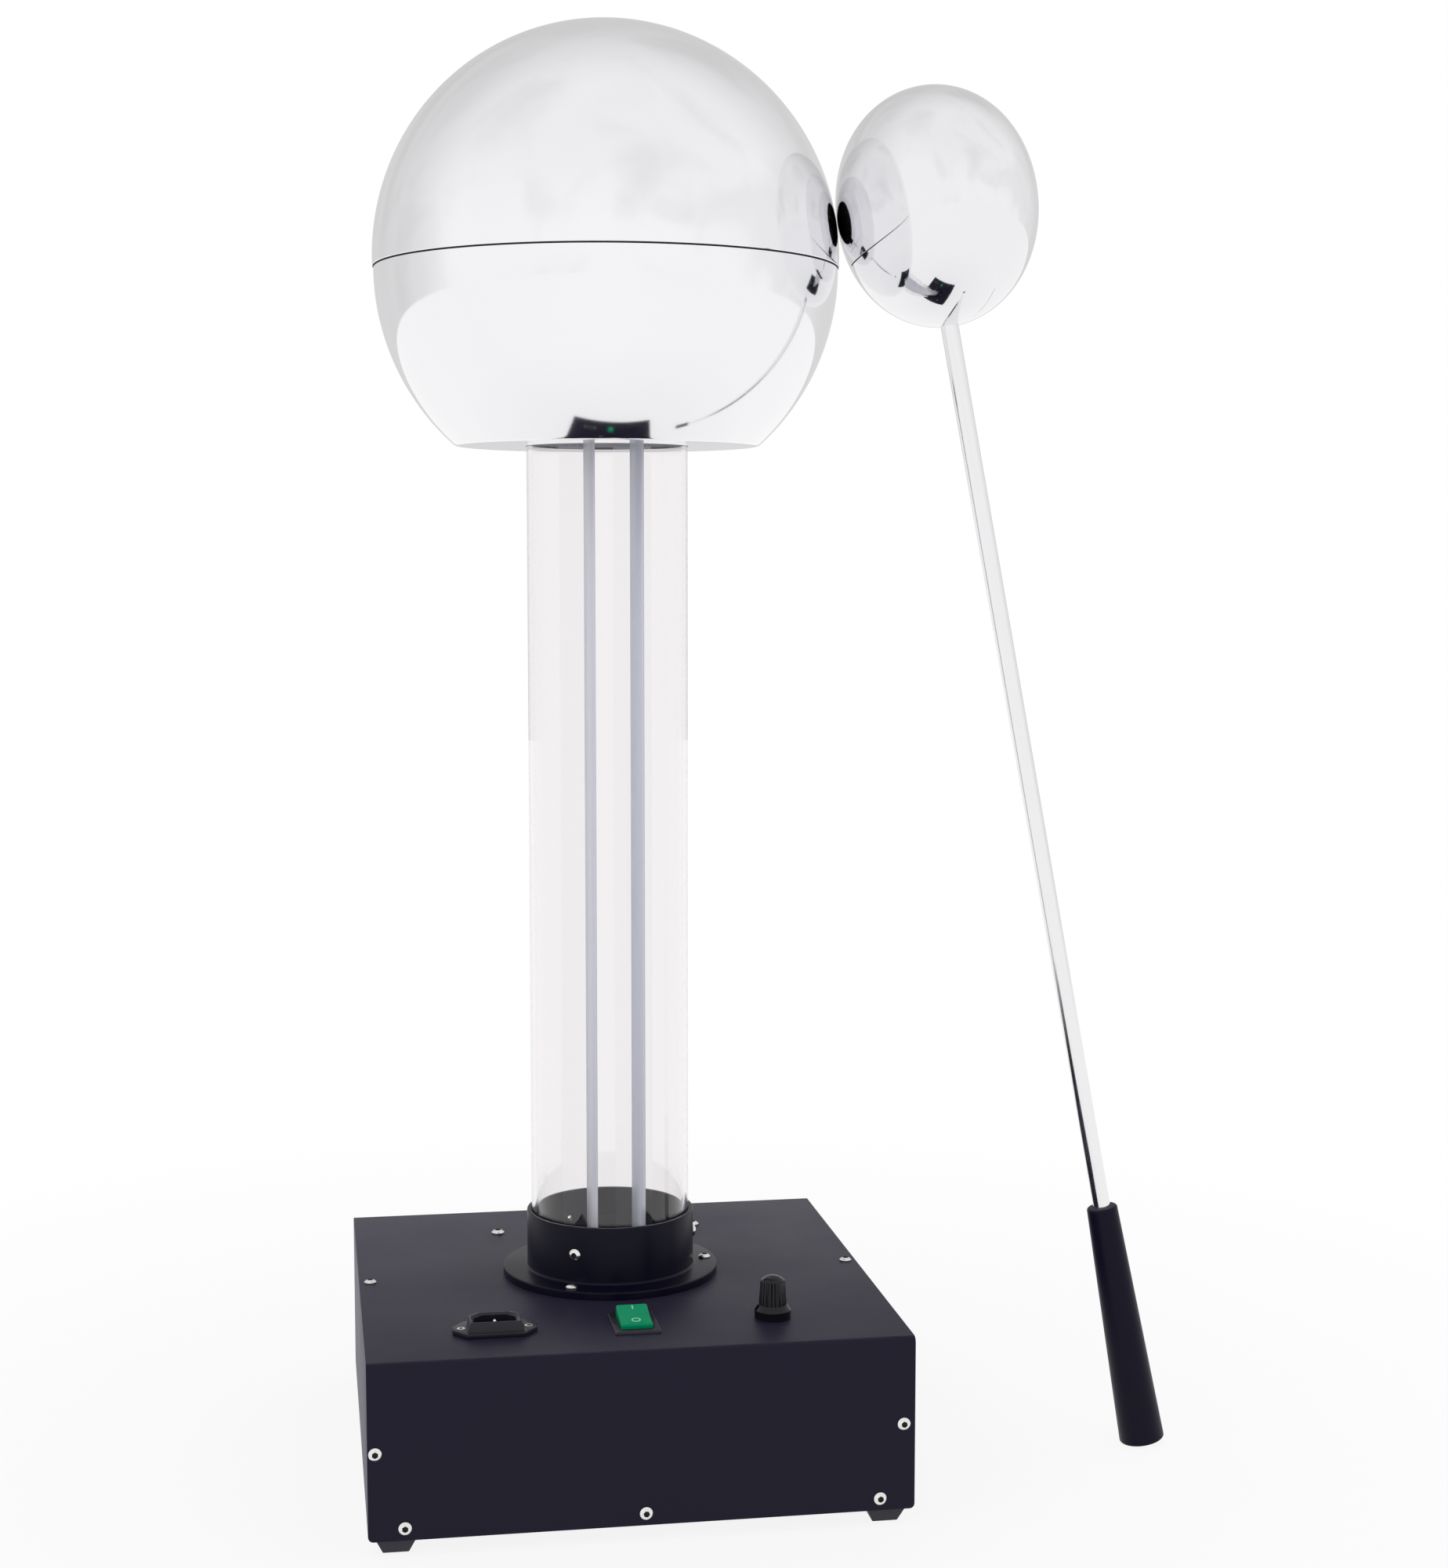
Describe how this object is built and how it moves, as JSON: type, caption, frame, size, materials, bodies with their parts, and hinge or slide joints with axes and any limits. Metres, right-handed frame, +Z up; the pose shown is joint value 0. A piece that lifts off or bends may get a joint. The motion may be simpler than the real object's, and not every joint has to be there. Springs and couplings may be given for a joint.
{
  "type": "van de graaff generator",
  "caption": "Belt-driven electrostatic generator: sheet-metal base box, clear column, polished dome, leaning discharge wand with a hollow ball.",
  "frame": {"origin": "on the floor under the axis of the column", "axes": "+X to the right, +Y to the back, +Z up along the column; the controls are at the front"},
  "size_m": [0.5121, 0.3252, 0.8945],
  "materials": {
    "cover_sheet": "fine powder coat, satin black with a cold tone",
    "panel_sheet": "fine powder coat, satin black with a cold tone",
    "foot_rubber": "matt",
    "screw_steel": "bright zinc plate",
    "collar_black": "turned, satin black",
    "bare_steel": "bare sheet",
    "motor_steel": "drawn can",
    "motor_plastic": "moulded",
    "bush_bronze": "sintered bronze",
    "roller_plastic": "turned acetal",
    "comb_brass": "cut sheet",
    "bracket_plastic": "moulded",
    "board_green": "lacquered board",
    "cooler_metal": "extruded",
    "parts_blue": "moulded",
    "knob_black": "fine moulded",
    "inlet_black": "moulded",
    "switch_black": "moulded",
    "rocker_green": "lit green, moulded",
    "tab_metal": "tinned",
    "clear_tube": "polished clear acrylic",
    "belt_rubber": "smooth, pale",
    "head_metal": "turned",
    "dome_metal": "polished spun metal",
    "ball_metal": "polished spun metal",
    "rod_metal": "polished",
    "handle_black": "turned, satin black"
  },
  "bodies": {
    "base": {"base_cover": "cover_sheet", "side_panel_left": "panel_sheet", "side_panel_right": "panel_sheet", "base_plate": "panel_sheet", "feet": "foot_rubber", "foot_screws": "screw_steel", "cover_screws": "screw_steel", "low_screws": "screw_steel", "column_collar": "collar_black", "flange_screws": "screw_steel", "collar_screws": "screw_steel", "motor_bracket": "bare_steel", "bracket_screws": "screw_steel", "motor_case": "motor_steel", "motor_end_cap": "motor_plastic", "motor_screws": "screw_steel", "roller_frame": "bare_steel", "shaft_bushes": "bush_bronze", "lower_comb": "comb_brass", "comb_bracket": "bracket_plastic", "control_board": "board_green", "board_spacers": "bracket_plastic", "heat_sink": "cooler_metal", "board_parts": "parts_blue", "speed_control": "bare_steel", "control_nut": "screw_steel", "inlet_housing": "inlet_black", "inlet_pins": "tab_metal", "inlet_screws": "screw_steel", "switch_frame": "switch_black", "switch_tabs": "tab_metal", "tube": "clear_tube", "belt": "belt_rubber", "dome_ring": "head_metal", "ring_screws": "screw_steel", "head_cup": "head_metal", "head_screws": "screw_steel", "upper_axle": "rod_metal", "axle_clips": "bare_steel", "comb_bridge": "head_metal", "upper_comb": "comb_brass", "contact_rod": "comb_brass", "dome_lower": "dome_metal", "dome_upper": "dome_metal"},
    "drive_rotor": {"drive_shaft": "rod_metal", "shaft_coupling": "bare_steel", "motor_spindle": "rod_metal", "lower_roller": "roller_plastic"},
    "head_roller": {"upper_roller": "roller_plastic", "roller_bushes": "bush_bronze"},
    "rocker": {"switch_rocker": "rocker_green"},
    "knob": {"speed_knob": "knob_black", "control_spindle": "rod_metal"},
    "wand": {"wand_handle": "handle_black", "wand_rod": "rod_metal", "rod_nut": "bare_steel", "rod_bush": "bare_steel", "ball_near_half": "ball_metal", "ball_far_half": "ball_metal"}
  },
  "joints": [
    {"name": "drive_spin", "type": "hinge", "parent": "base", "child": "drive_rotor", "pos_m": [0.0035, 0, 0.06], "axis": [0, 1, 0], "continuous": true},
    {"name": "head_spin", "type": "hinge", "parent": "base", "child": "head_roller", "pos_m": [0.0035, 0, 0.7385], "axis": [0, 1, 0], "continuous": true},
    {"name": "rocker_tilt", "type": "hinge", "parent": "base", "child": "rocker", "pos_m": [0, -0.1155, 0.1123], "axis": [-1, 0, 0], "range_deg": [0, 16]},
    {"name": "knob_turn", "type": "hinge", "parent": "base", "child": "knob", "pos_m": [0.084, -0.1155, 0.114], "axis": [0, 0, -1], "range_deg": [0, 300]},
    {"name": "wand_tilt", "type": "hinge", "parent": "base", "child": "wand", "pos_m": [0.32589, -0.05632, 0], "axis": [0, 1, 0], "range_deg": [0, 10.8]}
  ],
  "couplings": [
    {"joint": "head_spin", "follows": "drive_spin", "ratio": 1}
  ]
}
